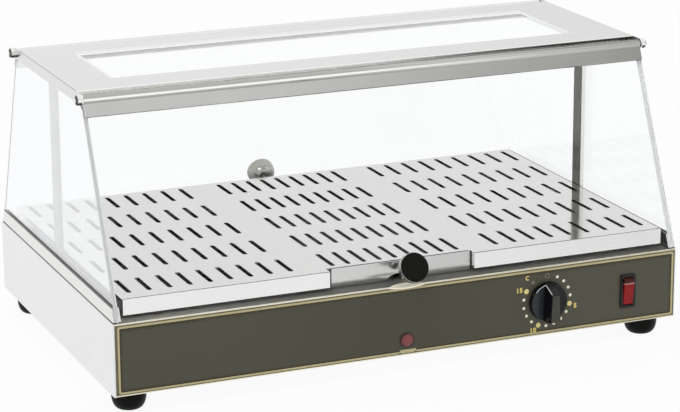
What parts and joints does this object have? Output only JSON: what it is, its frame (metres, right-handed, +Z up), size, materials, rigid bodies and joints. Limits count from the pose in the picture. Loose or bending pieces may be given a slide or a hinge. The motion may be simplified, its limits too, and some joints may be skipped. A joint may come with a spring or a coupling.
{
  "type": "heated display case",
  "caption": "Counter-top heated display case: slotted hot plate with a water drawer in a shallow steel case, under a glazed hood with leaning lift-up doors front and rear.",
  "frame": {"origin": "On the table under the middle of the case, at the underside of the feet", "axes": "+X to the right as the user sees the controls, +Y to the rear, +Z up"},
  "size_m": [0.608, 0.4261, 0.2958],
  "materials": {
    "casing_steel": "satin stainless sheet",
    "fascia_print": "dark olive printed film with a gold border",
    "inner_steel": "dull heat-tinted sheet",
    "plate_steel": "polished stainless sheet",
    "trim_steel": "brushed stainless",
    "polished_steel": "polished",
    "clear_glass": "clear",
    "foot_rubber": "matt black",
    "zinc_fastener": "zinc plated",
    "element_sheath": "oxidised sheath",
    "copper_bulb": "bare copper",
    "spindle_steel": "turned steel",
    "black_plastic": "gloss black",
    "rocker_red": "translucent red",
    "lamp_bezel": "dark red moulding",
    "lamp_red": "frosted red lens",
    "terminal_white": "moulded, off-white"
  },
  "bodies": {
    "case": {"side_panel_left": "casing_steel", "side_panel_right": "casing_steel", "fascia": "casing_steel", "fascia_film": "fascia_print", "rear_panel": "casing_steel", "bottom_pan": "casing_steel", "deck_frame": "inner_steel", "feet": "foot_rubber", "foot_studs": "zinc_fastener", "foot_nuts": "zinc_fastener", "case_screws": "zinc_fastener", "heat_well": "inner_steel", "heating_element": "element_sheath", "element_brackets": "inner_steel", "slotted_plate": "plate_steel", "plate_supports": "inner_steel", "drawer_runners": "inner_steel", "rail_left": "trim_steel", "rail_right": "trim_steel", "rail_screws": "zinc_fastener", "side_pane_left": "clear_glass", "side_pane_right": "clear_glass", "post_left": "trim_steel", "post_right": "trim_steel", "top_frame": "trim_steel", "window_glass": "clear_glass", "glass_ledges": "inner_steel", "front_hinge_rod": "polished_steel", "rear_hinge_rod": "polished_steel", "hinge_caps": "polished_steel", "thermostat_body": "black_plastic", "thermostat_bulb": "copper_bulb", "bulb_clips": "inner_steel", "switch_body": "black_plastic", "lamp_body": "lamp_bezel", "lamp_lens": "lamp_red", "lamp_nut": "zinc_fastener", "cable_gland": "black_plastic", "gland_nut": "zinc_fastener", "terminal_block": "terminal_white"},
    "front_door": {"front_door_strip": "trim_steel", "front_door_pane": "clear_glass", "front_door_knob": "polished_steel", "front_knob_screw": "zinc_fastener", "front_knob_washer": "zinc_fastener"},
    "rear_door": {"rear_door_strip": "trim_steel", "rear_door_pane": "clear_glass", "rear_door_knob": "polished_steel", "rear_knob_screw": "zinc_fastener", "rear_knob_washer": "zinc_fastener"},
    "dial": {"dial_knob": "black_plastic", "thermostat_spindle": "spindle_steel"},
    "rocker": {"rocker": "rocker_red"},
    "water_drawer": {"drawer_floor": "inner_steel", "drawer_rim": "inner_steel", "drawer_front": "plate_steel"}
  },
  "joints": [
    {"name": "front_door_hinge", "type": "hinge", "parent": "case", "child": "front_door", "pos_m": [0, -0.1055, 0.2904], "axis": [-1, 0, 0], "range_deg": [0, 170]},
    {"name": "rear_door_hinge", "type": "hinge", "parent": "case", "child": "rear_door", "pos_m": [0, 0.1175, 0.2904], "axis": [1, 0, 0], "range_deg": [0, 170]},
    {"name": "thermostat_turn", "type": "hinge", "parent": "case", "child": "dial", "pos_m": [0.1531, -0.1878, 0.0578], "axis": [0, 1, 0], "range_deg": [0, 291]},
    {"name": "rocker_tilt", "type": "hinge", "parent": "case", "child": "rocker", "pos_m": [0.2442, -0.1848, 0.0565], "axis": [-1, 0, 0], "range_deg": [0, 14]},
    {"name": "drawer_slide", "type": "slide", "parent": "case", "child": "water_drawer", "axis": [0, -1, 0], "range_m": [0, 0.007]}
  ]
}
